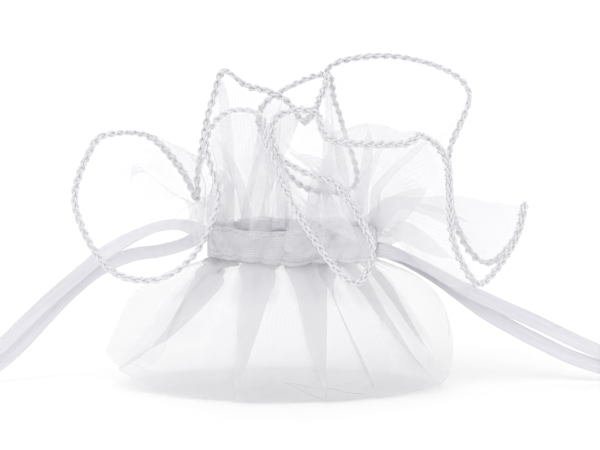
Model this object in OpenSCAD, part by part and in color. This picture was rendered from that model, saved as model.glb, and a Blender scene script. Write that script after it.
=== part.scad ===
// Drawstring gift pouch: one gathered circle of sheer cloth, with a casing at the neck,
// two drawstring ribbons and an overlocked ruffle. The pouch stands on z = 0 and faces -Y.

/* [Cloth] */
// Wall thickness of the bag below the neck
bag_wall = 0.8; // [0.6:0.1:1.0]
// Thickness of the ruffle above the neck
ruffle_wall = 0.5; // [0.4:0.1:0.6]
// Diameter of the overlock edging round the ruffle
trim_d = 1.7; // [1.4:0.1:2.0]

/* [Neck] */
// Height of the lower edge of the casing
neck_z = 27; // [26.8:0.1:27.2]
// Height of the casing, from its lower to its upper edge
casing_h = 7; // [6.9:0.1:7.2]
// Thickness of the casing strips
casing_t = 0.6; // [0.4:0.1:0.7]
// Half of the width over the casing, from tip to tip
casing_rx = 19; // [18.9:0.1:19.1]
// Half of the depth over the casing, front to back
casing_ry = 8.5; // [8.4:0.1:8.6]
// Distance between neighbouring stitches
stitch_pitch = 2.1; // [1.8:0.1:3.0]

/* [Ribbon] */
// Width of each drawstring ribbon
ribbon_w = 3; // [2.8:0.1:3.1]
// Thickness of each drawstring ribbon
ribbon_t = 0.5; // [0.3:0.1:0.6]
// Diameter of the knot that ties a pair of ribbon ends
knot_d = 5.2; // [5.2:0.1:5.4]

/* [Hidden] */

// The neck's centre is a little to the right of the base's centre.
neck_x = 3;
// Gap between the layers at the neck: cloth, ribbon, casing.
layer_gap = 0.3;
// How sharply the neck's oval is pinched at its two tips: 1 is an ellipse.
neck_pinch = 1.5;
neck_top = neck_z + casing_h;
channel_rx = casing_rx - casing_t;
channel_ry = casing_ry - casing_t;
loop_rx = channel_rx - layer_gap;
loop_ry = channel_ry - layer_gap;
neck_rx = loop_rx - ribbon_t - layer_gap;
neck_ry = loop_ry - ribbon_t - layer_gap;
// The casing strips stop short of the tips, where the ribbons come out.
tip_opening = 1.5;
casing_half_run = casing_rx - tip_opening;
// A loop of ribbon stops this far inside the casing, where its free strands take over.
loop_setback = 0.8;
loop_half_run = casing_half_run - loop_setback;
// The casing's lower edge lies just above the lower edge of the neck.
casing_lift = 0.2;
// How high over the lower edge of the neck the middle of each ribbon runs.
lower_ribbon_rise = 1.9;
upper_ribbon_rise = 5.3;
lower_ribbon_z = neck_z + lower_ribbon_rise;
upper_ribbon_z = neck_z + upper_ribbon_rise;
ring_steps = 72;

// Sections of the bag, from the floor to the neck:
// [height, centre, half width, half depth, pinch at the side creases].
BAG_SECTIONS = [
    [0, 1, 31.5, 19.5, 1.2],
    [1.2, 0.8, 34.5, 21.5, 1.25],
    [4.5, 0.2, 36.5, 22, 1.35],
    [9, 0.6, 36.3, 21, 1.3],
    [14, 1, 35, 19.2, 1.25],
    [19, 1.2, 32.2, 16.5, 1.2],
    [23, 2, 27.5, 12.5, 1.2],
    [25.5, 2.6, 22, 9.3, 1.3],
    [neck_z, neck_x, neck_rx, neck_ry, neck_pinch],
    [neck_top, neck_x, neck_rx, neck_ry, neck_pinch]
];

// The ruffle's free edge, once round from the left valley by way of the front. A smooth closed
// curve goes through these points.
RIM = [
    [-17, 3, 39], [-20.5, 5, 45], [-27, 2, 52.5], [-35, -3, 54], [-39, -5, 51.5],
    [-42.5, -8, 40], [-35.5, -14, 27.5], [-25.5, -17, 25.5], [-17.5, -16, 30.5],
    [-13, -14, 39.5], [-12.5, -12, 43.5], [-15, -11, 53.5], [-11, -13, 60], [-3.5, -14, 59.5],
    [-1.5, -14, 51.5], [3.5, -17, 40.5], [13, -25, 28], [17.5, -25, 27], [19.5, -21, 33.5],
    [12.5, -14, 44.5], [5.5, -10, 47], [-0.5, -8, 51], [-0.5, -6, 58], [7.5, -5, 59],
    [11, -8, 53.5], [25.5, -8, 52.5], [30.5, -6, 54], [35.5, -5, 48], [36.5, -8, 33],
    [41, -10, 24], [44, -8, 24], [49.5, -2, 30.5], [52, 4, 37.5], [45, 8, 38], [36.5, 10, 39],
    [36.5, 14, 48.5], [40.5, 18, 59], [34.5, 20, 64.5], [22, 20, 67], [11, 20, 64],
    [13.5, 24, 52], [16.5, 25, 38.5], [5, 26, 38], [-3.5, 25, 50], [-2, 21, 57.5],
    [10, 17, 63.5], [6, 11, 54.5], [2, 9, 59], [-2.5, 8, 61.5], [-7, 9, 62.5], [-12, 10, 65],
    [-15, 8, 55.5], [-17, 4, 44]
];
rim_steps = 3;
ruffle_rows = 7;
// Where on the neck the first rim point is gathered, in degrees from +X.
rim_start_angle = 160;
// How high the cloth rises from the neck before it flares, and how far it leans on the way.
ruffle_rise = 12;
ruffle_lean = 0.3;

// Routes of the four free ribbon strands, from the casing to where each joins its coil. Each
// ribbon stands on edge.
LEFT_FRONT_ROUTE = [
    [-14.6, -0.9, 32.3], [-17.5, -0.6, 33.4], [-21, 0.2, 34.2], [-25.5, 1, 33.5],
    [-30.5, 1.6, 31.3], [-36.5, 2, 27.7], [-41, 2, 24], [-48, 1.5, 18], [-53.5, 1, 12.8],
    [-58.5, 0.5, 8], [-63.5, 0, 4.2], [-69, -0.4, 2.2], [-75, -0.6, 1.6], [-82, -0.6, 1.6]
];
LEFT_BACK_ROUTE = [
    [-14.6, 0.9, 32.3], [-17, 1.3, 31.2], [-20, 1.9, 29.6], [-25, 2.6, 28.1], [-31, 3, 27.1],
    [-37.5, 3, 24.3], [-44, 2.7, 19], [-49, 2.3, 13.8], [-54, 1.8, 8.4], [-58.5, 1.3, 4.4],
    [-62.5, 0.9, 2.4], [-67, 0.5, 1.6], [-74, 0.3, 1.6], [-82, 0.3, 1.6]
];
RIGHT_FRONT_ROUTE = [
    [20.6, -0.9, 28.9], [23.5, -0.5, 28.4], [27, 0, 27.1], [32.5, 0.8, 24.2], [39.5, 1.4, 20],
    [46.5, 1.8, 16.6], [53.5, 2, 13.4], [60.5, 1.8, 10], [67.5, 1.4, 6.8], [73, 0.8, 4.5],
    [78.5, 0.2, 2.6], [84, -0.3, 1.7], [88, -0.6, 1.6], [92, -0.6, 1.6]
];
RIGHT_BACK_ROUTE = [
    [20.6, 0.9, 28.9], [23.5, 1.2, 28], [27.5, 1.8, 26], [33, 2.6, 22.6], [38, 3, 19],
    [43.5, 3, 15], [49.5, 2.9, 11.5], [55, 2.8, 8.6], [61, 2.5, 5.7], [67.5, 2.2, 3.4],
    [72.5, 1.7, 2.1], [77.5, 1.1, 1.6], [84, 0.6, 1.6], [92, 0.3, 1.6]
];
route_steps = 2;

// Coils: a flat ring of ribbon on edge, entered at its front by the two strands.
coil_outer_r = 17.6;
coil_inner_r = 13.9;
coil_h = 3.1;
coil_y = 16.5;
left_coil_x = -82;
right_coil_x = 92;
// The knot lies inside its coil, against the inner turns.
knot_dx = 2.9;
knot_dy = -11.2;

// ---- Curves ----

function catmull(a, b, c, d, t) =
    0.5 * (2 * b + (c - a) * t + (2 * a - 5 * b + 4 * c - d) * t * t
        + (3 * b - a - 3 * c + d) * t * t * t);

// A closed smooth curve through the points.
function closed_curve(points, steps) =
    let (n = len(points))
    [for (i = [0 : n - 1]) for (k = [0 : steps - 1])
        catmull(points[(i + n - 1) % n], points[i], points[(i + 1) % n], points[(i + 2) % n],
            k / steps)];

// An open smooth curve through the points, ends included.
function open_curve(points, steps) =
    let (n = len(points))
    concat(
        [for (i = [0 : n - 2]) for (k = [0 : steps - 1])
            catmull(points[max(i - 1, 0)], points[i], points[i + 1], points[min(i + 2, n - 1)],
                k / steps)],
        [points[n - 1]]);

function unit(v) = v / norm(v);

// Distance along a closed curve from its first point to each point, then its whole length.
function running_length(points) =
    let (n = len(points))
    [for (i = 0, s = 0; i <= n; s = s + norm(points[(i + 1) % n] - points[i % n]), i = i + 1) s];

// A point on a pinched oval. The pinch keeps the width and narrows the depth at the tips.
function oval_point(rx, ry, pinch, angle) =
    [rx * cos(angle), ry * sign(sin(angle)) * pow(abs(sin(angle)), pinch)];

function oval(rx, ry, pinch) =
    [for (i = [0 : ring_steps - 1]) oval_point(rx, ry, pinch, 360 * i / ring_steps)];

// Faces between rows of a grid that closes on itself sideways.
function skin(rows, columns) =
    [for (r = [0 : rows - 2]) for (c = [0 : columns - 1])
        let (d = (c + 1) % columns)
        [r * columns + c, (r + 1) * columns + c, (r + 1) * columns + d, r * columns + d]];

function triangles(quads) = [for (q = quads) each [[q[0], q[1], q[2]], [q[0], q[2], q[3]]]];

// ---- Bag ----

// The solid inside the bag's sections, each drawn in by the same amount.
module bag_solid(inset, lift) {
    rows = len(BAG_SECTIONS);
    points = [for (s = BAG_SECTIONS) for (p = oval(s[2] - inset, s[3] - inset, s[4]))
        [s[1] + p[0], p[1], s[0] + (s[0] == 0 ? inset : s[0] == neck_top ? lift : 0)]];
    top = (rows - 1) * ring_steps;
    faces = concat(
        triangles(skin(rows, ring_steps)),
        [[for (i = [0 : ring_steps - 1]) i]],
        [[for (i = [ring_steps - 1 : -1 : 0]) top + i]]);
    polyhedron(points, faces);
}

module pouch_body() {
    color("white") difference() {
        bag_solid(0, 0);
        bag_solid(bag_wall, 1);
    }
}

// ---- Ruffle ----

rim_curve = closed_curve(RIM, rim_steps);
rim_count = len(rim_curve);
rim_lengths = running_length(rim_curve);
// The cloth is gathered evenly, so a point's place on the neck follows its distance round the rim.
rim_angles = [for (i = [0 : rim_count - 1])
    rim_start_angle + 360 * rim_lengths[i] / rim_lengths[rim_count]];

function neck_point(angle) =
    let (p = oval_point(neck_rx - bag_wall / 2, neck_ry - bag_wall / 2, neck_pinch, angle))
    [neck_x + p[0], p[1], neck_top];

function rise_point(i) =
    let (a = neck_point(rim_angles[i]), b = rim_curve[i])
    [a[0] + ruffle_lean * (b[0] - a[0]), a[1] + ruffle_lean * (b[1] - a[1]),
        neck_top + ruffle_rise];

function ruffle_point(i, s) =
    let (k = (i + rim_count) % rim_count)
    (1 - s) * (1 - s) * neck_point(rim_angles[k]) + 2 * s * (1 - s) * rise_point(k)
        + s * s * rim_curve[k];

function ruffle_normal(i, s) =
    let (
        step = 0.02,
        across = ruffle_point(i + 1, s) - ruffle_point(i - 1, s),
        up = ruffle_point(i, min(s + step, 1)) - ruffle_point(i, max(s - step, 0)),
        n = cross(across, up))
    s == 0 ? unit([n[0], n[1], 0]) : unit(n);

module ruffle() {
    rows = ruffle_rows + 1;
    half = ruffle_wall / 2;
    side = [for (r = [0 : ruffle_rows]) for (i = [0 : rim_count - 1])
        let (s = r / ruffle_rows) [ruffle_point(i, s), ruffle_normal(i, s)]];
    outer = [for (v = side) v[0] + half * v[1]];
    inner = [for (v = side) v[0] - half * v[1]];
    n = len(outer);
    outer_faces = skin(rows, rim_count);
    inner_faces = [for (q = outer_faces) [n + q[3], n + q[2], n + q[1], n + q[0]]];
    top = ruffle_rows * rim_count;
    edges = [for (c = [0 : rim_count - 1])
        let (d = (c + 1) % rim_count)
        each [[c, d, n + d, n + c], [top + d, top + c, n + top + c, n + top + d]]];
    color("ghostwhite") polyhedron(
        concat(outer, inner),
        triangles(concat(outer_faces, inner_faces, edges)));
}

trim_sides = 8;

module edge_trim() {
    rings = [for (i = [0 : rim_count - 1])
        let (
            along = unit(rim_curve[(i + 1) % rim_count]
                - rim_curve[(i + rim_count - 1) % rim_count]),
            cloth = rim_curve[i] - rise_point(i),
            out = unit(cloth - (cloth * along) * along),
            side = cross(along, out))
        for (k = [0 : trim_sides - 1])
            rim_curve[i] + trim_d / 2 * (cos(360 * k / trim_sides) * out
                + sin(360 * k / trim_sides) * side)];
    faces = [for (i = [0 : rim_count - 1]) for (k = [0 : trim_sides - 1])
        let (j = (i + 1) % rim_count, m = (k + 1) % trim_sides)
        [i * trim_sides + k, j * trim_sides + k, j * trim_sides + m, i * trim_sides + m]];
    color("lavender") polyhedron(rings, triangles(faces));
}

// ---- Neck ----

// An upright band that follows the neck's oval.
module band(rx, ry, thickness, z, height) {
    translate([neck_x, 0, z])
        linear_extrude(height)
            difference() {
                polygon(oval(rx, ry, neck_pinch));
                polygon(oval(rx - thickness, ry - thickness, neck_pinch));
            }
}

// One half of the casing, in front of the neck or behind it.
module casing_half(side) {
    depth = 2 * casing_ry;
    color("gainsboro") intersection() {
        band(casing_rx, casing_ry, casing_t, neck_z + casing_lift, casing_h);
        translate([neck_x - casing_half_run, side < 0 ? -depth : 0, neck_z])
            cube([2 * casing_half_run, depth, 2 * casing_h]);
    }
}

// A row of short stitches that lie half sunk in the casing's face.
stitch_d = 0.5;
stitch_gap = 0.6;
// Where the row starts on each half of the casing, in degrees from its tip, and how far it runs.
stitch_margin = 24;
stitch_run = 180 - 2 * stitch_margin;
// How far the lower row lies over the lower edge of the neck, and the upper row under the upper one.
lower_row_rise = 1;
upper_row_drop = 0.6;

function casing_length(angle) =
    norm(oval_point(casing_rx, casing_ry, neck_pinch, angle + 1)
        - oval_point(casing_rx, casing_ry, neck_pinch, angle));

// Angles along one half of the casing that are one stitch apart.
function stitch_starts(angle, last, gone) =
    angle >= last ? []
    : gone >= stitch_pitch ? concat([angle], stitch_starts(angle + 1, last, 0))
    : stitch_starts(angle + 1, last, gone + casing_length(angle));

module stitch_row(z) {
    color("silver")
        for (start = [stitch_margin, 180 + stitch_margin])
            for (angle = stitch_starts(start, start + stitch_run, stitch_pitch)) {
                a = oval_point(casing_rx, casing_ry, neck_pinch, angle);
                b = oval_point(casing_rx, casing_ry, neck_pinch, angle + 1);
                turn = atan2(b[1] - a[1], b[0] - a[0]);
                translate([neck_x + a[0], a[1], z])
                    rotate([0, 90, turn])
                        cylinder(h = stitch_pitch - stitch_gap, d = stitch_d, $fn = 16);
            }
}

module casing_front() { casing_half(-1); }
module casing_back() { casing_half(1); }
module casing_stitch_upper() { stitch_row(neck_top - upper_row_drop); }
module casing_stitch_lower() { stitch_row(neck_z + lower_row_rise); }

// ---- Drawstrings ----

// A ribbon inside the casing, all the way round, open at the side where its ends come out.
module ribbon_loop(z, side) {
    cut = 2 * loop_ry;
    gap_x = neck_x + side * (loop_half_run + cut / 2);
    color("thistle") difference() {
        band(loop_rx, loop_ry, ribbon_t, z - ribbon_w / 2, ribbon_w);
        translate([gap_x, 0, z])
            cube(cut, center = true);
    }
}

// The ribbon's own cross-section, as [share of the width, share of the thickness] from its centre.
RIBBON_SECTION = [
    [0.5, 0.2], [0.3, 0.5], [-0.3, 0.5], [-0.5, 0.2],
    [-0.5, -0.2], [-0.3, -0.5], [0.3, -0.5], [0.5, -0.2]
];

// A flat ribbon that follows a route and stands on edge.
module ribbon_strand(route) {
    curve = open_curve(route, route_steps);
    last = len(curve) - 1;
    sides = len(RIBBON_SECTION);
    rings = [for (i = [0 : last])
        let (
            along = unit(curve[min(i + 1, last)] - curve[max(i - 1, 0)]),
            flat = unit(cross(along, [0, 0, 1])),
            wide = cross(flat, along))
        for (c = RIBBON_SECTION)
            curve[i] + c[0] * ribbon_w * wide + c[1] * ribbon_t * flat];
    faces = concat(
        [for (i = [0 : last - 1]) for (k = [0 : sides - 1])
            let (m = (k + 1) % sides)
            [i * sides + k, (i + 1) * sides + k, (i + 1) * sides + m, i * sides + m]],
        [[for (k = [0 : sides - 1]) k]],
        [[for (k = [sides - 1 : -1 : 0]) last * sides + k]]);
    color("thistle") polyhedron(rings, faces);
}

module coil(x) {
    color("thistle")
        translate([x, coil_y, 0])
            rotate_extrude($fn = 96)
                translate([coil_inner_r, 0])
                    square([coil_outer_r - coil_inner_r, coil_h]);
}

// The two strands of a side, tied together in one small round knot.
module knot(x, side) {
    color("thistle")
        translate([x + side * knot_dx, coil_y + knot_dy, knot_d / 2])
            sphere(d = knot_d, $fn = 32);
}

module left_ribbon_loop() { ribbon_loop(upper_ribbon_z, -1); }
module right_ribbon_loop() { ribbon_loop(lower_ribbon_z, 1); }
module left_tail_front() { ribbon_strand(LEFT_FRONT_ROUTE); }
module left_tail_back() { ribbon_strand(LEFT_BACK_ROUTE); }
module right_tail_front() { ribbon_strand(RIGHT_FRONT_ROUTE); }
module right_tail_back() { ribbon_strand(RIGHT_BACK_ROUTE); }
module left_coil() { coil(left_coil_x); }
module right_coil() { coil(right_coil_x); }
module left_knot() { knot(left_coil_x, -1); }
module right_knot() { knot(right_coil_x, 1); }

pouch_body();
ruffle();
edge_trim();
casing_front();
casing_back();
casing_stitch_upper();
casing_stitch_lower();
left_ribbon_loop();
right_ribbon_loop();
left_tail_front();
left_tail_back();
right_tail_front();
right_tail_back();
left_coil();
right_coil();
left_knot();
right_knot();
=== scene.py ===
"""The drawstring gift pouch's visual model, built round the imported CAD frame. Lengths are in metres."""
import math

import bpy
import numpy as np
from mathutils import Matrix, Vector


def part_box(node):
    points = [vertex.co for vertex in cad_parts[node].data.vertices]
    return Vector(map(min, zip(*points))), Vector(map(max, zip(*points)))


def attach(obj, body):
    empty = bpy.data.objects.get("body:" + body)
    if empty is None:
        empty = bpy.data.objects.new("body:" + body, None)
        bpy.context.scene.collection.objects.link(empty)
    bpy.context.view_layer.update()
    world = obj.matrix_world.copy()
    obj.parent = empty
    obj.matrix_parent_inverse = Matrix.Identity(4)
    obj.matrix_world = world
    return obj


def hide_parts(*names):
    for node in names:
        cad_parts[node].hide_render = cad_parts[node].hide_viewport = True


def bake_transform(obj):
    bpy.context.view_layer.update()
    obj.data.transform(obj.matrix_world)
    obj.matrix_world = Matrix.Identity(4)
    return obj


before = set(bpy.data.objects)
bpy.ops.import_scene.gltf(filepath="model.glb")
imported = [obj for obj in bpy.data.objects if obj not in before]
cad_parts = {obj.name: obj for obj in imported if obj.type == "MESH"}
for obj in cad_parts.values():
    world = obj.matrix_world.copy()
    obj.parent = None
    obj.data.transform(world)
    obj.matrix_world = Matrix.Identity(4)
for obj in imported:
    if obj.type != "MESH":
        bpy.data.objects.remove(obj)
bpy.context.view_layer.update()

MM = 0.001
TAU = 2 * math.pi
random = np.random.default_rng(7)


# ---- Curves and meshes ----

def catmull(a, b, c, d, t):
    """The point at share t between b and c of a smooth curve through all four."""
    return 0.5 * (2 * b + (c - a) * t + (2 * a - 5 * b + 4 * c - d) * t ** 2
                  + (3 * b - a - 3 * c + d) * t ** 3)


def closed_curve(points, steps):
    p = np.array(points, float)
    before, after, beyond = np.roll(p, 1, 0), np.roll(p, -1, 0), np.roll(p, -2, 0)
    rows = [catmull(before, p, after, beyond, k / steps) for k in range(steps)]
    return np.stack(rows, 1).reshape(-1, p.shape[1])


def open_curve(points, steps):
    p = np.array(points, float)
    before, after = p[np.maximum(np.arange(len(p) - 1) - 1, 0)], p[1:]
    beyond = p[np.minimum(np.arange(len(p) - 1) + 2, len(p) - 1)]
    rows = [catmull(before, p[:-1], after, beyond, k / steps) for k in range(steps)]
    return np.concatenate([np.stack(rows, 1).reshape(-1, p.shape[1]), p[-1:]])


def run_length(curve, closed=False):
    """The distance along a curve to each of its points, and with closed back to the first one."""
    p = np.concatenate([curve, curve[:1]]) if closed else curve
    return np.concatenate([[0], np.cumsum(np.linalg.norm(np.diff(p, axis=0), axis=1))])


def evenly(curve, count, closed=False):
    """The curve again, as count points that lie evenly along it."""
    p = np.concatenate([curve, curve[:1]]) if closed else curve
    along = run_length(curve, closed)
    places = np.linspace(0, along[-1], count, endpoint=not closed)
    return np.stack([np.interp(places, along, p[:, k]) for k in range(p.shape[1])], 1)


def unit(v):
    return v / np.maximum(np.linalg.norm(v, axis=-1, keepdims=True), 1e-12)


def smooth(edge_a, edge_b, x):
    t = np.clip((x - edge_a) / (edge_b - edge_a), 0, 1)
    return t * t * (3 - 2 * t)


NOISE_TERMS = 7


def slow_noise(x, y, scale):
    """A smooth repeatable wander of about -1 to 1 over two coordinates, with waves about scale long."""
    total = np.zeros(np.broadcast(x, y).shape)
    for _ in range(NOISE_TERMS):
        angle, phase = random.uniform(0, TAU, 2)
        k = TAU / scale * random.uniform(0.6, 1.6)
        total += np.sin(k * (x * math.cos(angle) + y * math.sin(angle)) + phase)
    return total / math.sqrt(NOISE_TERMS)


def new_object(name, vertices, faces, material, uv=None, density=None):
    """A mesh object. uv is the cloth's own flat coordinates, and density how closely it is gathered."""
    mesh = bpy.data.meshes.new(name)
    face_list = faces if isinstance(faces, list) else faces.tolist()
    mesh.from_pydata(np.asarray(vertices).tolist(), [], face_list)
    mesh.polygons.foreach_set("use_smooth", np.ones(len(mesh.polygons), bool))
    index = np.zeros(len(mesh.loops), int)
    mesh.loops.foreach_get("vertex_index", index)
    if uv is not None:
        layer = mesh.uv_layers.new(name="Cloth")
        layer.data.foreach_set("uv", np.asarray(uv, np.float32)[index].ravel())
    if density is not None:
        layer = mesh.uv_layers.new(name="Density")
        pairs = np.stack([density, np.zeros(len(density))], 1)
        layer.data.foreach_set("uv", pairs.astype(np.float32)[index].ravel())
    mesh.materials.append(material)
    mesh.update()
    obj = bpy.data.objects.new(name, mesh)
    bpy.context.scene.collection.objects.link(obj)
    return obj


def grid_faces(rows, columns, closed):
    """Quads over a grid of points. With closed, the last column joins the first."""
    r, c = np.meshgrid(np.arange(rows - 1), np.arange(columns if closed else columns - 1), indexing="ij")
    d = (c + 1) % columns
    this, following = r * columns, (r + 1) * columns
    return np.stack([this + c, this + d, following + d, following + c], -1).reshape(-1, 4)


def thicken(obj, thickness):
    """Gives a sheet its real thickness, as a closed mesh."""
    solidify = obj.modifiers.new("thickness", "SOLIDIFY")
    solidify.thickness = thickness
    solidify.offset = 0
    apply_modifiers(obj)
    return obj


def apply_modifiers(obj):
    made = bpy.data.meshes.new_from_object(obj.evaluated_get(bpy.context.evaluated_depsgraph_get()))
    obj.modifiers.clear()
    obj.data = made


def swept(curve, wide, flat, section, closed=False):
    """Vertices and faces of a section carried along a curve. Its points are (along wide, along flat)."""
    rings = len(curve)
    sides = len(section)
    vertices = np.stack([curve + a * wide + b * flat for a, b in section], 1).reshape(-1, 3)
    i, k = np.meshgrid(np.arange(rings if closed else rings - 1), np.arange(sides), indexing="ij")
    j, m = (i + 1) % rings, (k + 1) % sides
    corners = [i * sides + k, i * sides + m, j * sides + m, j * sides + k]
    faces = np.stack(corners, -1).reshape(-1, 4).tolist()
    if not closed:
        faces.append(list(range(sides - 1, -1, -1)))
        faces.append([(rings - 1) * sides + k for k in range(sides)])
    return vertices, faces


def round_section(radius, sides):
    turns = [TAU * k / sides for k in range(sides)]
    return [(radius * math.cos(turn), radius * math.sin(turn)) for turn in turns]


def along_curve(curve, closed=False):
    """The direction of travel at each point of a curve."""
    if closed:
        return unit(np.roll(curve, -1, 0) - np.roll(curve, 1, 0))
    return unit(np.gradient(curve, axis=0))


# Near +Z, but no thread runs exactly along it.
ALMOST_UP = [0.13, 0.21, 0.97]


def thread_mesh(curve, radius):
    """A round thread along a curve that never runs straight up."""
    along = along_curve(curve)
    flat = unit(np.cross(along, ALMOST_UP))
    return swept(curve, np.cross(flat, along), flat, round_section(radius, 6))


def joined(name, parts, material, uv=None):
    """One object from many (vertices, faces)."""
    faces, start = [], 0
    for vertices, part_faces in parts:
        faces += [[start + k for k in face] for face in part_faces]
        start += len(vertices)
    return new_object(name, np.concatenate([v for v, _ in parts]), faces, material, uv)


# ---- Materials ----

def new_material(name):
    material = bpy.data.materials.new(name)
    material.use_nodes = True
    tree = material.node_tree
    return material, tree, tree.nodes["Principled BSDF"]


def node(tree, kind, inputs=(), **settings):
    made = tree.nodes.new(kind)
    for key, value in settings.items():
        setattr(made, key, value)
    for key, value in dict(inputs).items():
        if isinstance(value, bpy.types.NodeSocket):
            tree.links.new(value, made.inputs[key])
        else:
            made.inputs[key].default_value = value
    return made


def math_node(tree, operation, a, b=0.0):
    return node(tree, "ShaderNodeMath", {0: a, 1: b}, operation=operation).outputs[0]


def mapped(tree, value, low, high, to_low, to_high):
    return node(tree, "ShaderNodeMapRange", {
        "Value": value, "From Min": low, "From Max": high, "To Min": to_low, "To Max": to_high,
    }).outputs["Result"]


def from_noise(tree, noise, low, high):
    """A noise texture's usual span, stretched to run from low to high."""
    return mapped(tree, noise, 0.3, 0.7, low, high)


def thread_bands(tree, coordinates, axis, pitch):
    """1 on each yarn and 0 between two, for yarns that are pitch apart across axis."""
    split = node(tree, "ShaderNodeSeparateXYZ", {0: coordinates}).outputs[axis]
    wave = math_node(tree, "SINE", math_node(tree, "MULTIPLY", split, TAU / pitch))
    return mapped(tree, wave, -1.0, 1.0, 0.0, 1.0)


def weave(tree, coordinates, pitch):
    """A plain weave's cover: high where yarns cross, low in the holes."""
    warp = thread_bands(tree, coordinates, 0, pitch)
    weft = thread_bands(tree, coordinates, 1, pitch)
    return math_node(tree, "MAXIMUM", warp, weft)


WEAVE_PITCH = 0.38 * MM
# How solid the cloth looks in the weave's holes and on its yarns, as shares of its mean cover.
HOLE_SHARE, YARN_SHARE = 0.62, 1.16


def organza(name, colour, cover, dense_cover=0.0):
    """Sheer woven cloth, open between its yarns.

    cover is how much of the light each face of the cloth stops. Where the mesh's Density is 1, it stops
    dense_cover more.
    """
    material, tree, shader = new_material(name)
    coordinates = node(tree, "ShaderNodeUVMap", uv_map="Cloth").outputs["UV"]
    cloth = weave(tree, coordinates, WEAVE_PITCH)
    cloudy = node(tree, "ShaderNodeTexNoise", {
        "Vector": coordinates, "Scale": 420.0, "Detail": 3.0, "Roughness": 0.6,
    }).outputs["Fac"]
    open_cover = mapped(tree, cloth, 0.0, 1.0, cover * HOLE_SHARE, cover * YARN_SHARE)
    alpha = math_node(tree, "MULTIPLY", open_cover, from_noise(tree, cloudy, 0.94, 1.06))
    if dense_cover:
        density = node(tree, "ShaderNodeUVMap", uv_map="Density").outputs["UV"]
        gathered = node(tree, "ShaderNodeSeparateXYZ", {0: density}).outputs[0]
        alpha = math_node(tree, "ADD", alpha, math_node(tree, "MULTIPLY", gathered, dense_cover))
    tree.links.new(math_node(tree, "MINIMUM", alpha, 1.0), shader.inputs["Alpha"])
    tone = node(tree, "ShaderNodeMix", {
        "Factor": cloudy, "A": (*[c * 0.95 for c in colour], 1), "B": (*colour, 1),
    }, data_type="RGBA")
    tree.links.new(tone.outputs["Result"], shader.inputs["Base Color"])
    tree.links.new(from_noise(tree, cloudy, 0.34, 0.5), shader.inputs["Roughness"])
    bump = node(tree, "ShaderNodeBump", {"Height": cloth, "Strength": 0.25, "Distance": 0.05 * MM})
    tree.links.new(bump.outputs["Normal"], shader.inputs["Normal"])
    shader.inputs["Sheen Weight"].default_value = 0.35
    shader.inputs["Sheen Roughness"].default_value = 0.35
    shader.inputs["Specular IOR Level"].default_value = 0.45
    return material


RIB_PITCH = 0.34 * MM
WARP_PITCH = 0.3 * MM


def ribbed_ribbon(name, colour, cover):
    """Narrow woven ribbon, with fine ribs across it and lengthwise streaks."""
    material, tree, shader = new_material(name)
    coordinates = node(tree, "ShaderNodeUVMap", uv_map="Cloth").outputs["UV"]
    ribs = thread_bands(tree, coordinates, 0, RIB_PITCH)
    warp = thread_bands(tree, coordinates, 1, WARP_PITCH)
    cloth = math_node(tree, "MAXIMUM", ribs, warp)
    streaks = node(tree, "ShaderNodeTexNoise", {
        "Vector": node(tree, "ShaderNodeMapping", {
            "Vector": coordinates, "Scale": (60.0, 2600.0, 1.0),
        }).outputs["Vector"],
        "Scale": 1.0, "Detail": 3.0,
    }).outputs["Fac"]
    height = math_node(tree, "ADD", cloth, math_node(tree, "MULTIPLY", streaks, 0.8))
    bump = node(tree, "ShaderNodeBump", {"Height": height, "Strength": 0.4, "Distance": 0.06 * MM})
    tree.links.new(bump.outputs["Normal"], shader.inputs["Normal"])
    tone = node(tree, "ShaderNodeMix", {
        "Factor": from_noise(tree, streaks, 0.0, 1.0),
        "A": (*[c * 0.88 for c in colour], 1), "B": (*colour, 1),
    }, data_type="RGBA")
    tree.links.new(tone.outputs["Result"], shader.inputs["Base Color"])
    tree.links.new(mapped(tree, cloth, 0.0, 1.0, cover - 0.12, cover + 0.08), shader.inputs["Alpha"])
    tree.links.new(from_noise(tree, streaks, 0.35, 0.55), shader.inputs["Roughness"])
    shader.inputs["Sheen Weight"].default_value = 0.3
    return material


def twisted_thread(name, hollow_shade_colour, light, twist=0.5 * MM):
    """Glossy plied thread, with painted shade in the hollows between its plies: its colour is darker there
    and lighter on the plies.
    """
    material, tree, shader = new_material(name)
    coordinates = node(tree, "ShaderNodeTexCoord").outputs["Object"]
    plies = node(tree, "ShaderNodeTexWave", {
        "Vector": coordinates, "Scale": 1 / twist, "Distortion": 2.0, "Detail": 1.0,
    }, bands_direction="DIAGONAL").outputs["Fac"]
    fuzz = node(tree, "ShaderNodeTexNoise", {
        "Vector": coordinates, "Scale": 900.0, "Detail": 2.0,
    }).outputs["Fac"]
    # Painted shade: the colour is darkest where the plies dip into the hollows between them, varied a
    # little by the fuzz.
    painted_ply_shade = math_node(tree, "MULTIPLY", plies, from_noise(tree, fuzz, 0.6, 1.0))
    tone = node(tree, "ShaderNodeMix", {"Factor": painted_ply_shade, "A": (*hollow_shade_colour, 1), "B": (*light, 1)},
                data_type="RGBA")
    tree.links.new(tone.outputs["Result"], shader.inputs["Base Color"])
    bump = node(tree, "ShaderNodeBump", {"Height": plies, "Strength": 0.35, "Distance": 0.05 * MM})
    tree.links.new(bump.outputs["Normal"], shader.inputs["Normal"])
    tree.links.new(from_noise(tree, fuzz, 0.35, 0.55), shader.inputs["Roughness"])
    shader.inputs["Sheen Weight"].default_value = 0.25
    return material


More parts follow.
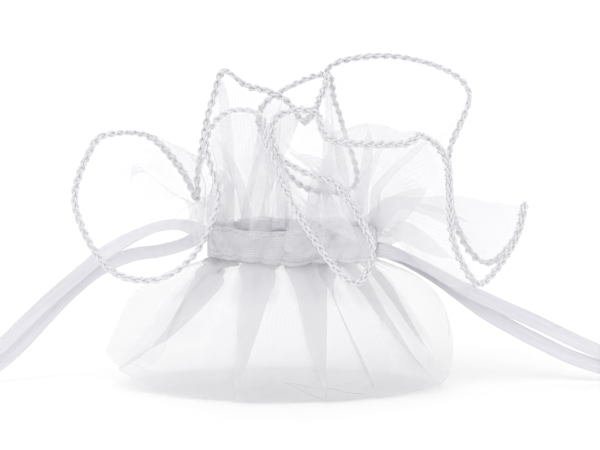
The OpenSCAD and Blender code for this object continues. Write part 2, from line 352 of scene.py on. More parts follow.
BAG_CLOTH = organza("bag_organza", (0.86, 0.86, 0.885), cover=0.10, dense_cover=0.15)
RUFFLE_CLOTH = organza("ruffle_organza", (0.88, 0.88, 0.91), cover=0.14)
CASING_CLOTH = organza("casing_organza", (0.93, 0.93, 0.96), cover=0.42)
RIBBON = ribbed_ribbon("drawstring_ribbon", (0.90, 0.89, 0.94), cover=0.84)
# Each thread's first colour is painted shade for the hollows between its plies, and its second is the
# colour on the plies.
OVERLOCK = twisted_thread("overlock_thread", (0.72, 0.72, 0.75), (0.90, 0.90, 0.92))
SEWING = twisted_thread("sewing_thread", (0.66, 0.66, 0.69), (0.80, 0.80, 0.83), twist=0.3 * MM)


# ---- Camera, floor and light ----

VIEW_ELEVATION = math.radians(10)
VIEW_WIDTH = 0.126
VIEW_CENTRE = Vector((0.0046, 0.0, 0.0341))
VIEW_DISTANCE = 1.5


def add_camera():
    data = bpy.data.cameras.new("camera")
    data.lens = data.sensor_width * VIEW_DISTANCE / VIEW_WIDTH
    camera = bpy.data.objects.new("camera", data)
    back = Vector((0, -math.cos(VIEW_ELEVATION), math.sin(VIEW_ELEVATION)))
    camera.location = VIEW_CENTRE + VIEW_DISTANCE * back
    camera.rotation_euler = back.to_track_quat("Z", "Y").to_euler()
    bpy.context.scene.collection.objects.link(camera)
    bpy.context.scene.camera = camera


def add_area_light(name, place, size, power):
    data = bpy.data.lights.new(name, "AREA")
    data.size = size
    data.energy = power
    light = bpy.data.objects.new(name, data)
    light.location = place
    light.rotation_euler = (Vector(place) - VIEW_CENTRE).to_track_quat("Z", "Y").to_euler()
    bpy.context.scene.collection.objects.link(light)


FLOOR_HALF = 6.0


def add_floor():
    material, tree, shader = new_material("floor")
    grain = node(tree, "ShaderNodeTexNoise", {"Scale": 40.0, "Detail": 2.0}).outputs["Fac"]
    tree.links.new(mapped(tree, grain, 0.0, 1.0, 0.6, 0.7), shader.inputs["Roughness"])
    shader.inputs["Base Color"].default_value = (0.95, 0.95, 0.95, 1)
    shader.inputs["Specular IOR Level"].default_value = 0.0
    h = FLOOR_HALF
    corners = [(-h, -h, 0), (h, -h, 0), (h, h, 0), (-h, h, 0)]
    floor = new_object("floor", corners, [(0, 1, 2, 3)], material)


def add_light():
    world = bpy.data.worlds.new("studio")
    world.use_nodes = True
    background = world.node_tree.nodes["Background"]
    background.inputs["Color"].default_value = (1, 1, 1, 1)
    background.inputs["Strength"].default_value = 0.80
    scene = bpy.context.scene
    scene.world = world
    add_area_light("key", (-0.35, -0.35, 0.75), 0.5, 1.95)
    add_area_light("fill", (0.55, -0.5, 0.45), 0.6, 0.75)
    add_area_light("back", (0.1, 0.6, 0.6), 0.6, 1.1)
    scene.view_settings.view_transform = "Standard"
    # A line of sight through the pouch crosses many layers of cloth.
    scene.cycles.transparent_max_bounces = 64
    scene.cycles.max_bounces = 8


add_camera()
add_floor()
add_light()


# ---- The neck's sizes, from the CAD ----

casing_low, casing_high = (Vector(p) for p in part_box("casing_front"))
# The casing's two halves stop this far short of the oval's ends, which lets the ribbons out.
TIP = 1.5 * MM
NECK_X = (casing_low.x + casing_high.x) / 2
CASING_RX = (casing_high.x - casing_low.x) / 2 + TIP
CASING_RY = -casing_low.y
CASING_Z = (casing_low.z, casing_high.z)
NECK_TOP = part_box("pouch_body")[1][2]
# How far inside the casing's oval the neck of the cloth lies, and the ribbons inside the casing.
NECK_INSET, LOOP_INSET = 2.0 * MM, 1.15 * MM
NECK_RX, NECK_RY = CASING_RX - NECK_INSET, CASING_RY - NECK_INSET
LOOP_RX, LOOP_RY = CASING_RX - LOOP_INSET, CASING_RY - LOOP_INSET
PINCH = 1.5


def oval_point(rx, ry, pinch, angle):
    """A point on a pinched oval. angle is an array, in radians from +X."""
    side = np.sin(angle)
    return np.stack([rx * np.cos(angle), ry * np.sign(side) * np.abs(side) ** pinch], -1)


# ---- Drawstrings ----

RIBBON_W = 3.0 * MM
RIBBON_T = 0.26 * MM
COIL_R = 17.1 * MM
COIL_PITCH = 1.8 * MM
COIL_TURN = math.radians(338)
COIL_POINTS = 90
COIL_EXIT = 3.2 * MM
STRAND_GAP = 0.9 * MM
STRAND_STEP = 0.8 * MM
# How far from a knot's middle a strand ends, along X.
KNOT_ENTRY = 1.2 * MM
# How far each strand rolls over near the casing, in radians. It rolls over ROLL_IN of its length, and it
# turns back on edge over the stretch ROLL_OUT.
ROLLS = {"front": 0.9, "back": 0.6}
ROLL_IN, ROLL_OUT = 7 * MM, (12 * MM, 30 * MM)

LEFT_FRONT_ROUTE = [
    [-14.6, -0.9, 32.3], [-17.5, -0.6, 33.4], [-21, 0.2, 34.2], [-25.5, 1, 33.5],
    [-30.5, 1.6, 31.3], [-36.5, 2, 27.7], [-41, 2, 24], [-48, 1.5, 18], [-53.5, 1, 12.8],
    [-58.5, 0.5, 8], [-63.5, 0, 4.2], [-69, -0.4, 2.2], [-75, -0.6, 1.6], [-82, -0.6, 1.6],
]
LEFT_BACK_ROUTE = [
    [-14.6, 0.9, 32.3], [-17, 1.3, 31.2], [-20, 1.9, 29.6], [-25, 2.6, 28.1], [-31, 3, 27.1],
    [-37.5, 3, 24.3], [-44, 2.7, 19], [-49, 2.3, 13.8], [-54, 1.8, 8.4], [-58.5, 1.3, 4.4],
    [-62.5, 0.9, 2.4], [-67, 0.5, 1.6], [-74, 0.3, 1.6], [-82, 0.3, 1.6],
]
RIGHT_FRONT_ROUTE = [
    [20.6, -0.9, 28.9], [23.5, -0.5, 28.4], [27, 0, 27.1], [32.5, 0.8, 24.2], [39.5, 1.4, 20],
    [46.5, 1.8, 16.6], [53.5, 2, 13.4], [60.5, 1.8, 10], [67.5, 1.4, 6.8], [73, 0.8, 4.5],
    [78.5, 0.2, 2.6], [84, -0.3, 1.7], [88, -0.6, 1.6], [92, -0.6, 1.6],
]
RIGHT_BACK_ROUTE = [
    [20.6, 0.9, 28.9], [23.5, 1.2, 28], [27.5, 1.8, 26], [33, 2.6, 22.6], [38, 3, 19],
    [43.5, 3, 15], [49.5, 2.9, 11.5], [55, 2.8, 8.6], [61, 2.5, 5.7], [67.5, 2.2, 3.4],
    [72.5, 1.7, 2.1], [77.5, 1.1, 1.6], [84, 0.6, 1.6], [92, 0.3, 1.6],
]

# Half of the ribbon's section, from its middle to its thicker selvedge, as shares of width and thickness.
HALF_SECTION = [(0.0, 0.42), (0.34, 0.40), (0.42, 0.5), (0.485, 0.4)]
RIBBON_SECTION = (
    HALF_SECTION + [(0.5, 0.0)] + [(a, -b) for a, b in reversed(HALF_SECTION)]
    + [(-a, -b) for a, b in HALF_SECTION[1:]] + [(-0.5, 0.0)]
    + [(-a, b) for a, b in reversed(HALF_SECTION[1:])]
)


def side_name(side):
    return "left" if side < 0 else "right"


def box_centre(node_name):
    return np.mean([Vector(p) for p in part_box(node_name)], 0)


def strand_path(route, side, inner):
    """A strand's whole centreline: its route, its turn in the coil, and its way into the knot.

    inner is 1 for the strand that lies inside the other one in the coil, and 0 for the outer strand.
    """
    start = open_curve(np.array(route) * MM, 8)
    centre = box_centre(side_name(side) + "_coil")
    turn = np.linspace(0, COIL_TURN, COIL_POINTS)[1:]
    r = COIL_R - inner * STRAND_GAP - COIL_PITCH * turn / TAU
    angle = -math.pi / 2 + side * turn
    height = route[-1][2] * MM
    ring = np.stack([centre[0] + r * np.cos(angle), centre[1] + r * np.sin(angle),
                     np.full(len(r), height)], 1)
    knot = box_centre(side_name(side) + "_knot")
    entry = np.array([knot[0] - side * KNOT_ENTRY, knot[1] - (1 - inner) * STRAND_GAP, height])
    leaving = ring[-1] + unit(ring[-1] - ring[-2]) * COIL_EXIT
    tail = open_curve([ring[-2], ring[-1], leaving, entry], 6)[7:]
    path = np.concatenate([start, ring, tail])
    return evenly(path, int(run_length(path)[-1] / STRAND_STEP))


def ribbon_mesh(name, path, roll=0.0):
    """A flat ribbon that stands on edge along a path, rolled about it by an angle in radians."""
    along = along_curve(path)
    level = unit(np.cross(along, [0, 0, 1]))
    upright = np.cross(level, along)
    turn = np.broadcast_to(roll, len(path))[:, None]
    wide = np.cos(turn) * upright + np.sin(turn) * level
    flat = np.cos(turn) * level - np.sin(turn) * upright
    section = [(a * RIBBON_W, b * RIBBON_T) for a, b in RIBBON_SECTION]
    vertices, faces = swept(path, wide, flat, section)
    across = np.array([a for a, _ in section])
    uv = np.stack(np.broadcast_arrays(run_length(path)[:, None], across[None]), -1).reshape(-1, 2)
    return new_object(name, vertices, faces, RIBBON, uv)


# In a tied knot the ribbon is crushed to an oval of this half width and half thickness.
CRUSHED_W, CRUSHED_T = 0.8 * MM, 0.22 * MM
# The knot's ribbons are inset from its box by this much, and the second one is turned from the first.
KNOT_INSET = 0.35 * MM
KNOT_TURNS = (0.0, 0.42)
# The short ends' sideways shift and lean in millimetres, and their width as a share of the ribbon's.
SHORT_ENDS = ((-0.9, 0.5), (0.9, -0.3))
SHORT_END_SHARE = 0.9


def knot_mesh(name, side):
    """A tied overhand knot of two flat ribbons, with their short ends."""
    low, high = (np.array(p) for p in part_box(side_name(side) + "_knot"))
    centre, half = (low + high) / 2, (high - low) / 2
    t = np.linspace(0, TAU, 120, endpoint=False)
    crushed = [(CRUSHED_W * math.cos(a), CRUSHED_T * math.sin(a))
               for a in np.linspace(0, TAU, 10, endpoint=False)]
    parts = []
    for turn in KNOT_TURNS:
        ring = 0.55 + 0.3 * np.cos(3 * t + turn)
        trefoil = np.stack([ring * np.cos(2 * t + turn), ring * np.sin(2 * t + turn),
                            0.48 * np.sin(3 * t + turn)], 1)
        curve = trefoil * (half - KNOT_INSET) + centre
        flat = unit(curve - centre)
        wide = unit(np.cross(flat, along_curve(curve, True)))
        parts.append(swept(curve, wide, flat, crushed, True))
    section = [(a * RIBBON_W * SHORT_END_SHARE, b * RIBBON_T) for a, b in RIBBON_SECTION]
    for shift, lean in SHORT_ENDS:
        start = centre + np.array([side * 1.0, shift, -0.6]) * MM
        points = [start, start + np.array([side * 2.2, shift * 0.6, -0.2]) * MM,
                  start + np.array([side * 4.6, shift * 1.6 + lean, 0.1]) * MM]
        curve = open_curve(points, 6)
        along = along_curve(curve)
        flat = unit(np.cross(along, [0, 0, 1]))
        parts.append(swept(curve, np.cross(flat, along), flat, section))
    return joined(name, parts, RIBBON, np.concatenate([vertices[:, :2] for vertices, _ in parts]))


LOOP_SETBACK = 0.2 * MM


def loop_path(z, side):
    """The ribbon inside the casing: once round the neck, open where its two ends come out."""
    opening = math.acos(min(1.0, (CASING_RX - TIP - LOOP_SETBACK) / LOOP_RX))
    middle = 0.0 if side > 0 else math.pi
    angle = np.linspace(middle + opening, middle + TAU - opening, 300)
    flat = oval_point(LOOP_RX, LOOP_RY, PINCH, angle)
    return evenly(np.column_stack([NECK_X + flat[:, 0], flat[:, 1], np.full(len(angle), z)]), 220)


def add_drawstring(side, front_route, back_route):
    name = side_name(side)
    body = f"{name}_drawstring"
    knot = knot_mesh(f"{name}_knot_tied", side)
    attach(knot, body)
    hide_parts(f"{name}_knot")
    for inner, (place, route) in enumerate((("front", front_route), ("back", back_route))):
        path = strand_path(route, side, inner)
        gone = run_length(path)
        roll = -side * ROLLS[place] * smooth(0, ROLL_IN, gone) * (1 - smooth(*ROLL_OUT, gone))
        strand = ribbon_mesh(f"{name}_strand_{place}", path, roll)
        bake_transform(strand)
        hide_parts(f"{name}_tail_{place}", *([f"{name}_coil"] if inner == 0 else []))
    loop = ribbon_mesh(f"{name}_ribbon_in_casing", loop_path(front_route[0][2] * MM, side))
    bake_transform(loop)
    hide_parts(f"{name}_ribbon_loop")


add_drawstring(-1, LEFT_FRONT_ROUTE, LEFT_BACK_ROUTE)
add_drawstring(1, RIGHT_FRONT_ROUTE, RIGHT_BACK_ROUTE)


# ---- Bag ----

CLOTH_T = 0.1 * MM
BAG_ROWS, BAG_COLUMNS = 84, 1400
# The height where the gathered neck opens out into the bag.
SHOULDER = 28 * MM
# The base's lowest cloth lies this far above the floor.
BASE_LIFT = 0.12 * MM
# Sections of the bag from the neck to the floor, in millimetres: height, centre, half width, half depth.
# The last number is the pinch, which is 1 for an ellipse and more for sides drawn to a point.
BAG_SECTIONS = [
    [34, 3, 17, 6.5, 1.5], [30.5, 3, 16.9, 6.4, 1.5], [27.4, 3, 17.4, 6.9, 1.45],
    [25.5, 2.6, 22, 9.3, 1.3], [23, 2, 27.5, 12.5, 1.2], [19, 1.2, 32.2, 16.5, 1.2],
    [14, 1, 35, 19.2, 1.25], [9, 0.6, 36.2, 21, 1.3], [4.5, 0.2, 36.4, 22, 1.35],
    [1.2, 0.8, 34.6, 21.4, 1.25], [0.12, 1, 31.5, 19.5, 1.2],
]
# Pleats pressed into the bag: x at the neck and at the tip and half of the width at the neck, all in
# millimetres, how far down the tip is as a share of the way to the floor, and -1 for front or 1 for back.
BAG_PLEATS = [
    (-11.6, -23.8, 3.9, 0.60, -1), (-3.6, -9.2, 4.0, 0.97, -1), (5.6, 10.2, 4.9, 0.97, -1),
    (10.8, 20.6, 2.6, 0.95, -1), (14.6, 33.5, 1.9, 0.96, -1), (-13.6, -33.0, 1.8, 0.88, -1),
    (-10.5, -20.0, 1.6, 0.5, 1), (-3.0, -6.0, 2.0, 0.6, 1), (4.5, 9.0, 2.2, 0.55, 1),
    (11.5, 22.0, 1.6, 0.6, 1), (16.5, 32.0, 1.2, 0.8, 1),
]
FOLD_GAP = 0.45 * MM
# The base is denser, because sheer cloth closes up where it is seen at a low angle.
BASE_DENSITY = 0.3


def fold(share):
    """How a pleat's cloth doubles back, over -1 to 1 of its width."""
    inside = np.clip(1 - share ** 2, 0, None)
    return -share * inside ** 2


# How far a pleat's layers overlap for each strength of fold, as a share of its half width.
HALF_PLEAT = np.linspace(0, 1, 400)
STRENGTHS = np.linspace(1, 12, 111)
OVERLAPS = np.array([np.max(-(HALF_PLEAT + m * fold(HALF_PLEAT))) for m in STRENGTHS])


def folded_over(place, half, overlap):
    """The shift of cloth at a place within half of a pleat's middle, and its layer: -1 under to 1 over."""
    share = np.clip(place / half, -1, 1)
    strength = np.interp(overlap / half, OVERLAPS, STRENGTHS) * smooth(-0.25, 0.0, overlap / half)
    return half * strength * fold(share), 2.6 * share * (1 - share ** 2) * np.clip(strength, 0, 1.5)


def pleated(angle, down, middle_x, half_width):
    """Where cloth lands once it is pleated: its new angle, how far out its layer lies, and its density."""
    new_angle = angle.copy()
    out = np.zeros_like(angle)
    density = np.zeros_like(angle)
    for neck, tip, half, reach, side in BAG_PLEATS:
        x = (neck + (tip - neck) * np.clip(down / reach, 0, 1)) * MM
        middle = side * np.arccos(np.clip((x - middle_x) / half_width, -0.995, 0.995))
        overlap = half * MM * (1 - down / reach) / (half_width * np.abs(np.sin(middle)))
        turned = (angle - middle + math.pi) % TAU - math.pi
        width = math.radians(4 + 2.4 * half)
        shift, layer = folded_over(turned, width, overlap)
        new_angle += shift
        out += FOLD_GAP * layer
        inside = (1 - smooth(0.8, 1.1, np.abs(turned) / width)) * smooth(0, 0.12, overlap / width)
        density = np.maximum(density, inside)
    return new_angle, out, density


GATHERS = 36
# How far a gather's cloth shifts sideways, in radians of the gather's own wave.
GATHER_SHIFT = 1.5


def gather_wave(share):
    """Uneven small gathers, over the share of the way round the neck."""
    slow = 0.8 * np.sin(TAU * 3 * share + 0.7) + 0.6 * np.sin(TAU * 7 * share + 1.47)
    return TAU * GATHERS * share + slow


def bag_surface():
    """The bag's wall as a grid of points from the neck down, its density, and its length down."""
    sections = open_curve(np.array(BAG_SECTIONS), 6)
    sections[:, :4] *= MM
    sections[:, 0] = np.maximum(sections[:, 0], BASE_LIFT)
    lengths = run_length(sections[:, [0, 2]])
    places = np.linspace(0, lengths[-1], BAG_ROWS)
    sections = np.stack([np.interp(places, lengths, sections[:, k]) for k in range(5)], 1)
    angle = np.linspace(0, TAU, BAG_COLUMNS, endpoint=False)[None] + np.zeros((BAG_ROWS, 1))
    z, mid, half_w, half_d, pinch = (sections[:, k][:, None] for k in range(5))
    down = np.clip((SHOULDER - z) / SHOULDER, 0, 1)
    folded, out, density = pleated(angle, down, mid, half_w)
    gather = gather_wave(angle / TAU)
    near_neck = np.clip(1 - down / 0.28, 0, 1) ** 1.4
    folded = folded + near_neck * GATHER_SHIFT * np.sin(gather) / GATHERS
    out = out + near_neck * 0.7 * MM * (np.cos(gather) - 1)
    # Soft waves and small crumples, which fade out at the shoulder and at the floor.
    ripple = (0.5 * MM * slow_noise(angle * 0.03, z, 0.03)
              + 0.12 * MM * slow_noise(angle * 0.03, z, 0.009))
    out = out + ripple * smooth(0.05, 0.4, down) * smooth(0, 6 * MM, z)
    side = np.abs(np.sin(folded)) ** pinch * np.sign(np.sin(folded))
    x = mid + (half_w + out) * np.cos(folded)
    y = (half_d + out) * side
    # The bag's left corner stands a little clear of the floor.
    corner = 4.2 * MM * np.clip(-np.cos(folded), 0, 1) ** 8 * np.clip(1 - z / (14 * MM), 0, 1) ** 1.5
    wall = np.stack([x, y, z + corner], -1)
    return wall, density, lengths[-1]


BASE_ROWS = 16
CREASE = 0.3 * MM


def base_surface(edge):
    """The flat base, drawn in from the wall's last row to its middle, with soft creases."""
    middle = edge.mean(0)
    share = np.linspace(1, 0, BASE_ROWS)[1:, None, None]
    points = middle + (edge[None] - middle) * share
    crease = np.abs(slow_noise(points[..., 0], points[..., 1], 0.02))
    inward = 1 - share[..., 0]
    rise = (edge[None, :, 2] - BASE_LIFT) * np.clip(1 - 2.5 * inward, 0, 1) ** 2
    points[..., 2] = BASE_LIFT + rise + CREASE * crease * smooth(0, 0.2, inward)
    return points


# The cloth's length round the bag, and from the edge of the base to its middle, for the weave.
BAG_ROUND, BASE_DEEP = 430 * MM, 30 * MM


def add_bag():
    wall, density, height = bag_surface()
    base = base_surface(wall[-1])
    grid = np.concatenate([wall, base[:-1]])
    rows, columns = grid.shape[:2]
    u = np.linspace(0, BAG_ROUND, columns, endpoint=False)
    v = np.concatenate([np.linspace(0, height, len(wall)),
                        height + np.linspace(0, BASE_DEEP, rows - len(wall))])
    uv = np.stack(np.broadcast_arrays(u[None], v[:, None]), -1).reshape(-1, 2)
    vertices = np.concatenate([grid.reshape(-1, 3), base[-1][:1]])
    uv = np.concatenate([uv, [[0, height + BASE_DEEP]]])
    faces = grid_faces(rows, columns, True).tolist()
    last = (rows - 1) * columns
    faces += [[last + c, last + (c + 1) % columns, len(vertices) - 1] for c in range(columns)]
    dense = np.full(len(vertices), BASE_DENSITY)
    dense[:density.size] = density.ravel()
    bag = new_object("bag", vertices, faces, BAG_CLOTH, uv, dense)
    thicken(bag, CLOTH_T)
    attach(bag, "pouch")
    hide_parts("pouch_body")


add_bag()


# ---- Ruffle ----

# The ruffle's edge, once round from the left of the neck, in millimetres.
RIM = [
    [-17, 3, 39], [-20.5, 5, 45], [-27, 2, 52.5], [-35, -3, 54], [-39, -5, 51.5], [-42.5, -8, 40],
    [-35.5, -14, 27.5], [-25.5, -17, 25.5], [-17.5, -16, 30.5], [-13, -14, 39.5], [-12.5, -12, 43.5],
    [-15, -11, 53.5], [-11, -13, 60], [-3.5, -14, 59.5], [-1.5, -14, 51.5], [3.5, -17, 40.5],
    [13, -25, 28], [17.5, -25, 27], [19.5, -21, 33.5], [12.5, -14, 44.5], [5.5, -10, 47],
    [-0.5, -8, 51], [-0.5, -6, 58], [7.5, -5, 59], [11, -8, 53.5], [25.5, -8, 52.5], [30.5, -6, 54],
    [35.5, -5, 48], [36.5, -8, 33], [41, -10, 24], [44, -8, 24], [49.5, -2, 30.5], [52, 2.5, 37.5],
    [51.6, 4.5, 36.6], [50.4, 6, 30.8], [45.5, 7, 25], [41, 8, 26.5], [37.2, 9.5, 34], [36.2, 12, 41.5],
    [36.5, 14, 48.5], [40.5, 18, 59], [34.5, 20, 64.5], [22, 20, 67], [11, 20, 64], [13.5, 24, 52],
    [16.5, 25, 38.5], [5, 26, 38], [-3.5, 25, 50], [-2, 21, 57.5], [10, 17, 63.5], [6, 11, 54.5],
    [2, 9, 59], [-2.5, 8, 61.5], [-7, 9, 62.5], [-12, 10, 65], [-15, 8, 55.5], [-17, 4, 44],
]
# The angle at the neck of the cloth that the rim's first point belongs to.
RIM_START = math.radians(160)
RIM_LENGTH = 540 * MM
RUFFLE_DEEP = 40 * MM
RUFFLE_COLUMNS = 1600
RUFFLE_ROWS = 72


def bezier(a, b, c, d, s):
    return (1 - s) ** 3 * a + 3 * (1 - s) ** 2 * s * b + 3 * (1 - s) * s ** 2 * c + s ** 3 * d


def hump(share, middle, half):
    """A smooth bump from 0 up to 1 and down again, over a part of the way round."""
    away = np.abs((share - middle + 0.5) % 1 - 0.5) / half
    return np.clip(1 - away ** 2, 0, 1) ** 2


# Places on the neck and the places on the rim that their cloth reaches, as shares of the way round.
# The right lobe turns back behind itself, so it takes up more of the rim.
NECK_SHARES, RIM_SHARES = (0, 0.572, 0.644, 1), (0, 0.554, 0.656, 1)
# The middle and half width of two places with their own shape, as shares of the way round: the right
# side, where the cloth droops, and the back crest, where it curls over.
DROOP, CURL = (0.535, 0.06), (0.457, 0.035)


def rim_share(share):
    return np.interp(share % 1, NECK_SHARES, RIM_SHARES)


def ruffle_controls(share):
    """The four control points of the cloth's run from the neck to the rim, at shares of the way round."""
    rim = evenly(closed_curve(np.array(RIM) * MM, 16), 2400, True)
    wrapped = np.concatenate([rim, rim[:1]])
    at = rim_share(share) * len(rim)
    edge = np.stack([np.interp(at, np.arange(len(wrapped)), wrapped[:, k]) for k in range(3)], -1)
    flat = oval_point(NECK_RX, NECK_RY, PINCH, RIM_START + TAU * share)
    neck = np.stack([NECK_X + flat[..., 0], flat[..., 1], np.full(share.shape, NECK_TOP)], -1)
    gone = edge - neck
    slack = np.clip(RUFFLE_DEEP - np.linalg.norm(gone, axis=-1, keepdims=True), 0, None)
    lean = gone * [1, 1, 0]
    up = np.array([0, 0, 1])
    droop = hump(share, *DROOP)[..., None]
    curl = hump(share, *CURL)[..., None]
    first = (neck + up * ((8 * MM + 0.3 * slack) * (1 - 1.1 * droop)) + 0.22 * lean
             + droop * np.array([5, -1, -1]) * MM)
    second = (edge - 0.25 * gone + up * (0.4 * slack * (1 - 1.6 * droop) + 9 * MM * curl)
              + droop * np.array([-2, -3, -7]) * MM)
    return neck, first, second, edge


# Folds that run up the ruffle out of the neck: share of the way round at the neck and at the tip, how far
# up the tip is as a share of the cloth's depth, and half of the fold's width as a share of the way round.
RUFFLE_FOLDS = [
    (0.020, 0.028, 0.62, 0.010), (0.146, 0.140, 0.6, 0.014), (0.178, 0.170, 0.75, 0.014),
    (0.212, 0.208, 0.7, 0.012), (0.243, 0.238, 0.88, 0.019),
    (0.280, 0.272, 0.6, 0.014), (0.318, 0.326, 0.80, 0.026), (0.362, 0.360, 0.7, 0.014),
    (0.395, 0.400, 0.75, 0.014), (0.430, 0.436, 0.7, 0.016), (0.465, 0.458, 0.6, 0.014),
    (0.505, 0.500, 0.72, 0.014), (0.556, 0.560, 0.6, 0.016), (0.605, 0.600, 0.7, 0.014),
    (0.655, 0.660, 0.6, 0.016), (0.692, 0.690, 0.5, 0.014), (0.736, 0.733, 0.96, 0.012),
    (0.775, 0.780, 0.6, 0.016), (0.820, 0.825, 0.7, 0.016), (0.865, 0.860, 0.75, 0.016),
    (0.912, 0.915, 0.65, 0.014), (0.950, 0.947, 0.96, 0.016), (0.985, 0.984, 0.5, 0.010),
]
NORMAL_STEP = 0.002


# Folded cloth inside the left lobe: its place and half size, as shares of the way round and of the way
# up, and how far it stands off the lobe.
LEAF_PLACE, LEAF_SIZE = (0.092, 0.46), (0.016, 0.10)
LEAF_SHIFT = np.array([-3.5, -6.0, 7.0]) * MM
# How far the cloth hangs down and out over the casing.
HANG_DOWN, HANG_OUT = np.array([0, 0, -3.6]) * MM, 3.2 * MM


def ruffle_point(share, s):
    return bezier(*ruffle_controls(share), s[..., None])


def ruffle_surface():
    """The ruffle as a grid of points from the neck up, and its cloth's own lengths round and up."""
    s = np.linspace(0, 1, RUFFLE_ROWS)[:, None] ** 1.15
    share = np.linspace(0, 1, RUFFLE_COLUMNS, endpoint=False)[None]
    gather = gather_wave(share)
    near_neck = np.clip(1 - s / 0.5, 0, 1) ** 1.5
    moved = share + near_neck * GATHER_SHIFT * np.sin(gather) / (TAU * GATHERS)
    out = near_neck * 1.0 * MM * (np.cos(gather) - 1)
    for neck_share, tip_share, reach, half in RUFFLE_FOLDS:
        middle = neck_share + (tip_share - neck_share) * np.clip(s / reach, 0, 1)
        overlap = half * (1 - s / reach)
        turned = (moved - middle + 0.5) % 1 - 0.5
        shift, layer = folded_over(turned, 0.9 * half, overlap)
        moved = moved + shift
        out = out + 1.3 * FOLD_GAP * layer
    s = s + np.zeros_like(moved)
    points = ruffle_point(moved, s)
    across = ruffle_point(moved + NORMAL_STEP, s) - ruffle_point(moved - NORMAL_STEP, s)
    higher, lower = np.minimum(s + NORMAL_STEP, 1), np.maximum(s - NORMAL_STEP, 0)
    normal = unit(np.cross(across, ruffle_point(moved, higher) - ruffle_point(moved, lower)))
    along = rim_share(share) * RIM_LENGTH
    deep = s * RUFFLE_DEEP
    hang = np.clip(0.65 + 0.8 * np.sin(TAU * 5 * share + 1) * np.sin(TAU * 8 * share + 0.4), 0, 1.3)
    hang = hang * smooth(0, 0.06, s) * (1 - smooth(0.08, 0.24, s))
    points = points + hang[..., None] * HANG_DOWN
    out = out + HANG_OUT * hang
    leaf = np.exp(-((share - LEAF_PLACE[0]) / LEAF_SIZE[0]) ** 2
                  - ((s - LEAF_PLACE[1]) / LEAF_SIZE[1]) ** 2)
    points = points + leaf[..., None] * LEAF_SHIFT
    soft = smooth(0.1, 0.5, s) * (1 - smooth(0.85, 1.0, s))
    ripple = 0.7 * MM * slow_noise(along, deep, 0.03) + 0.2 * MM * slow_noise(along, deep, 0.01)
    out = out + soft * ripple
    return points + out[..., None] * normal, along, deep


def add_ruffle():
    grid, along, deep = ruffle_surface()
    uv = np.stack(np.broadcast_arrays(along, deep), -1).reshape(-1, 2)
    faces = grid_faces(*grid.shape[:2], True)
    ruffle = new_object("ruffle_cloth", grid.reshape(-1, 3), faces, RUFFLE_CLOTH, uv)
    thicken(ruffle, CLOTH_T)
    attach(ruffle, "pouch")
    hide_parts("ruffle")
    return grid


# ---- Overlocked edge ----

OVERLOCK_STITCH = 2.1 * MM
STEPS_PER_PLAIT = 42
# How far the plaited threads swing into the cloth and across it, and their radius.
PLAIT_SWING, PLAIT_RISE, PLAIT_THREAD = 0.46 * MM, 0.3 * MM, 0.27 * MM
# The whipped thread's middle line lies this far into the cloth. The rest is as above.
WHIP_IN, WHIP_SWING, WHIP_RISE, WHIP_THREAD = 0.5 * MM, 0.36 * MM, 0.24 * MM, 0.15 * MM


def add_overlock(grid):
    """Three plaited threads along the rim, and a whipped thread that wraps into the cloth."""
    coarse = grid[-1]
    inward = unit(grid[-4] - grid[-1])
    plaits = round(run_length(coarse, True)[-1] / (3 * OVERLOCK_STITCH))
    count = plaits * STEPS_PER_PLAIT
    rim = evenly(coarse, count, True)
    lead = evenly(np.concatenate([coarse, inward], 1), count, True)[:, 3:]
    along = along_curve(rim, True)
    lead = unit(lead - (lead * along).sum(1, keepdims=True) * along)
    side = np.cross(along, lead)
    phase = TAU * plaits * np.arange(count) / count
    parts = []
    for strand in range(3):
        turn = phase + TAU * strand / 3
        curve = (rim + PLAIT_SWING * np.sin(turn)[:, None] * lead
                 + PLAIT_RISE * np.sin(2 * turn)[:, None] * side)
        parts.append(swept(curve, lead, side, round_section(PLAIT_THREAD, 8), True))
    whip = (rim + (WHIP_IN + WHIP_SWING * np.cos(3 * phase))[:, None] * lead
            + WHIP_RISE * np.sin(3 * phase)[:, None] * side)
    parts.append(swept(whip, lead, side, round_section(WHIP_THREAD, 6), True))
    edge = joined("overlocked_edge", parts, OVERLOCK)
    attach(edge, "pouch")
    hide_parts("edge_trim")


ruffle_grid = add_ruffle()
add_overlock(ruffle_grid)


# ---- Casing ----

CASING_FOLDS = 21
CASING_T = 0.14 * MM
# The strip's own length for each radian round the neck, and its width, for the weave.
CASING_ROUND, CASING_WIDE = 60 * MM, 7 * MM
CASING_ROWS, CASING_COLUMNS = 22, 520
# How far the strip's middle line lies inside its oval, bulges out between its edges, and folds in and out.
CASING_INSET, CASING_BULGE, CASING_FOLD = 0.3 * MM, 0.45 * MM, 0.42 * MM


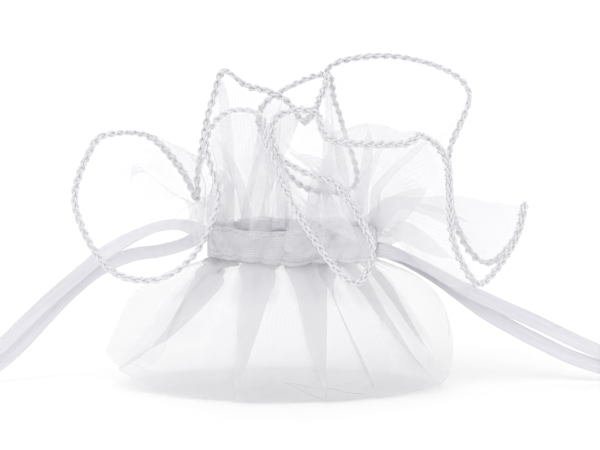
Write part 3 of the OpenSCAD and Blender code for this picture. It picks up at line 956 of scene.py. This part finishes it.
def casing_point(angle, height):
    """The gathered casing strip's surface, height from 0 at its lower edge to 1 at its upper one."""
    lean = 0.35 * np.sin(2 * angle + 1) * height + 0.12 * np.sin(5 * angle) * height ** 2
    wave = CASING_FOLDS * (angle + lean) + 0.9 * np.sin(3 * angle) + 0.7 * np.sin(8 * angle + 2)
    uneven = 0.6 + 0.4 * np.sin(5 * angle + 3 * height + 0.6) * np.sin(11 * angle - 2 * height)
    out = CASING_BULGE * np.sin(math.pi * height) + CASING_FOLD * uneven * np.cos(wave)
    moved = angle + 0.8 * uneven * np.sin(wave) / CASING_FOLDS
    flat = oval_point(CASING_RX - CASING_INSET, CASING_RY - CASING_INSET, PINCH, moved)
    normal = unit(np.stack([np.cos(angle) / 2, np.sin(angle)], -1))
    flat = flat + out[..., None] * normal
    # Both edges are wavy, and the lower one rises towards the left end.
    edge = 0.3 * MM * np.sin(7 * angle) + 0.2 * MM * np.cos(wave)
    wing = 2.4 * MM * np.clip(-np.cos(angle), 0, 1) ** 4 * (1 - height)
    z = CASING_Z[0] + height * (CASING_Z[1] - CASING_Z[0]) + edge * (2 * height - 1) + wing
    return np.stack([NECK_X + flat[..., 0], flat[..., 1], z], -1)


def add_casing(name, start_angle):
    limit = math.acos((CASING_RX - TIP) / CASING_RX)
    angle, height = np.broadcast_arrays(
        np.linspace(start_angle + limit, start_angle + math.pi - limit, CASING_COLUMNS)[None],
        np.linspace(0, 1, CASING_ROWS)[:, None])
    grid = casing_point(angle, height)
    uv = np.stack([angle * CASING_ROUND, height * CASING_WIDE], -1).reshape(-1, 2)
    faces = grid_faces(CASING_ROWS, CASING_COLUMNS, False)
    strip = new_object(name + "_strip", grid.reshape(-1, 3), faces, CASING_CLOTH, uv)
    thicken(strip, CASING_T)
    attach(strip, "pouch")
    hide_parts(name)


SEWN_STITCH = 1.7 * MM
# The share of its pitch that a stitch covers, how far its middle stands out, and its thread's radius.
STITCH_SHARE, STITCH_RISE, STITCH_THREAD = 0.72, 0.2 * MM, 0.12 * MM
# The rows of stitches stop this far short of each end of the strip, in radians.
STITCH_MARGIN = 0.35
STITCH_ARCH = np.sin(np.linspace(0, math.pi, 7))


def add_stitches(name, height):
    """A row of separate stitches that follow the gathered casing."""
    parts = []
    for start in (0.0, math.pi):
        angle = np.linspace(start + STITCH_MARGIN, start + math.pi - STITCH_MARGIN, 600)
        line = casing_point(angle, np.full(angle.shape, height))
        along = run_length(line)
        count = int(along[-1] / SEWN_STITCH)
        pitch = along[-1] / count
        for k in range(count):
            places = np.linspace(k * pitch, (k + STITCH_SHARE) * pitch, len(STITCH_ARCH))
            curve = np.stack([np.interp(places, along, line[:, j]) for j in range(3)], 1)
            outward = unit((curve - [NECK_X, 0, 0]) * [1, 1, 0])
            curve = curve + outward * (STITCH_RISE * STITCH_ARCH)[:, None]
            parts.append(thread_mesh(curve, STITCH_THREAD))
    row = joined(name + "_row", parts, SEWING)
    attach(row, "pouch")
    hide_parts(name)


add_casing("casing_front", math.pi)
add_casing("casing_back", 0.0)
add_stitches("casing_stitch_lower", 0.12)
add_stitches("casing_stitch_upper", 0.9)
